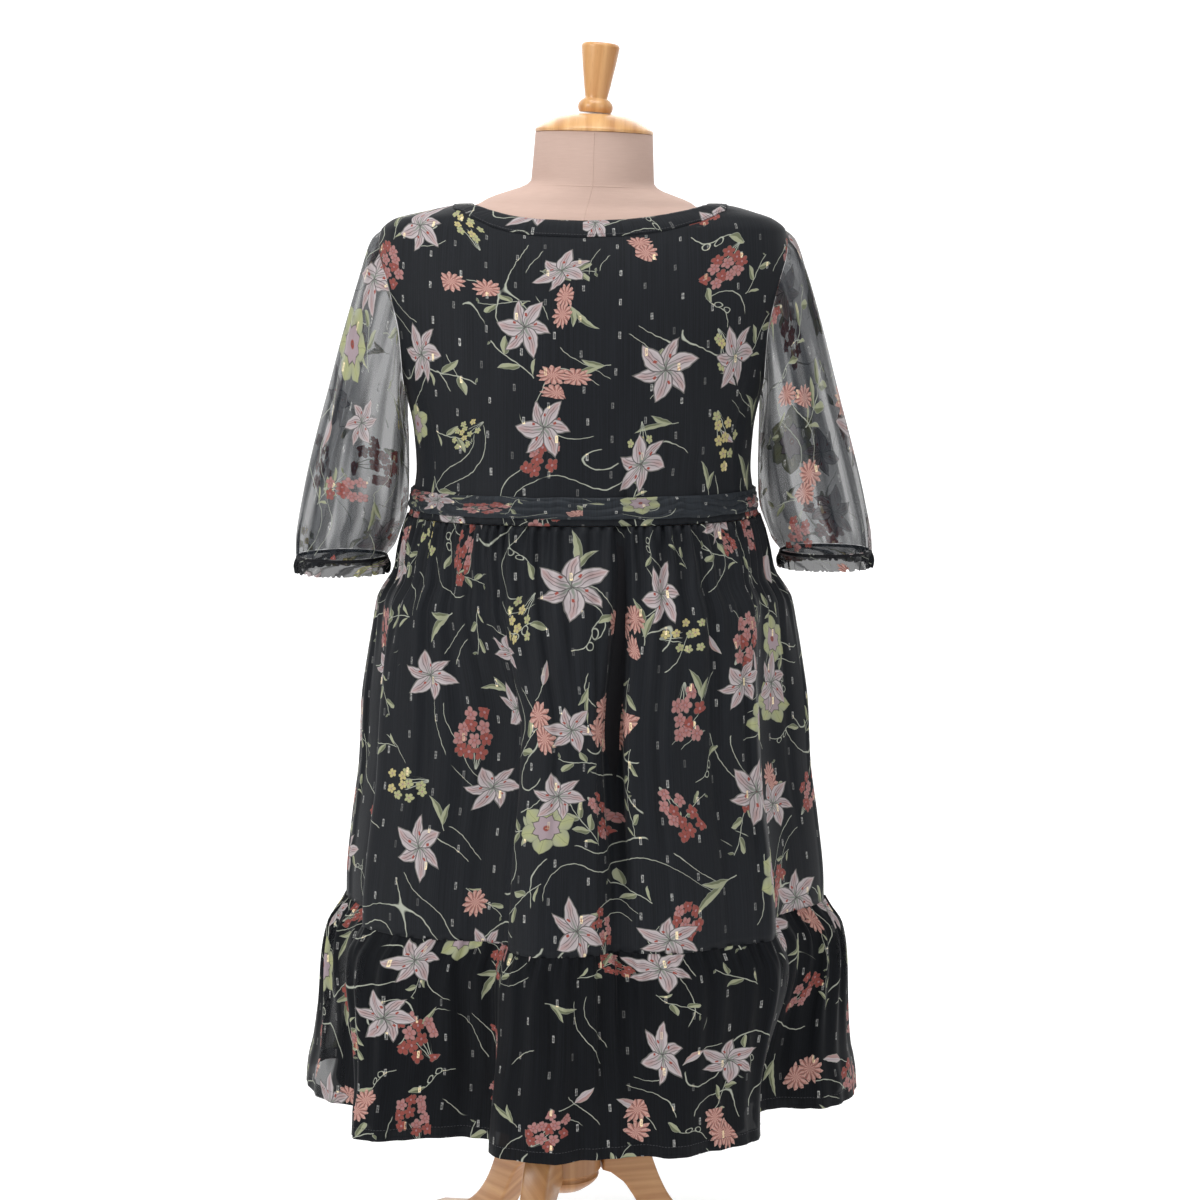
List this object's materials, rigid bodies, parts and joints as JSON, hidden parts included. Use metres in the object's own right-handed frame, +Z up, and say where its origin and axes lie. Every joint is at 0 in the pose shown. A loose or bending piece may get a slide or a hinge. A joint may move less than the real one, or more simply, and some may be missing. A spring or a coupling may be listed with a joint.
{
  "type": "dress on a dress form",
  "caption": "Knee-length tiered dress of dark sheer printed cloth with a lining, full see-through sleeves and a waist belt, on a limbless linen form with a wooden tripod.",
  "frame": {"origin": "on the floor, at the centre of the whole part's footprint box", "axes": "+Z is up, +X is the dress's right-hand side as seen from its back, and the back faces -Y"},
  "size_m": [0.6256, 0.464, 1.3601],
  "materials": {
    "printed_georgette": "matt printed georgette over a lining",
    "sheer_georgette": "see-through printed georgette",
    "black_lining": "smooth opaque lining",
    "form_linen": "plain woven linen, stretched tight",
    "form_wood": "clear satin varnish"
  },
  "bodies": {
    "root": {"bodice_back": "printed_georgette", "bodice_front": "printed_georgette", "neck_band": "printed_georgette", "waist_belt": "printed_georgette", "skirt_back": "printed_georgette", "skirt_front": "printed_georgette", "ruffle_back": "sheer_georgette", "ruffle_front": "sheer_georgette", "sleeve_left": "sheer_georgette", "sleeve_right": "sheer_georgette", "cuff_left": "sheer_georgette", "cuff_right": "sheer_georgette", "skirt_lining": "black_lining", "form_torso": "form_linen", "neck_cap": "form_wood", "cap_finial": "form_wood", "stand_pole": "form_wood", "stand_hub": "form_wood", "stand_leg_1": "form_wood", "stand_leg_2": "form_wood", "stand_leg_3": "form_wood"}
  },
  "joints": []
}
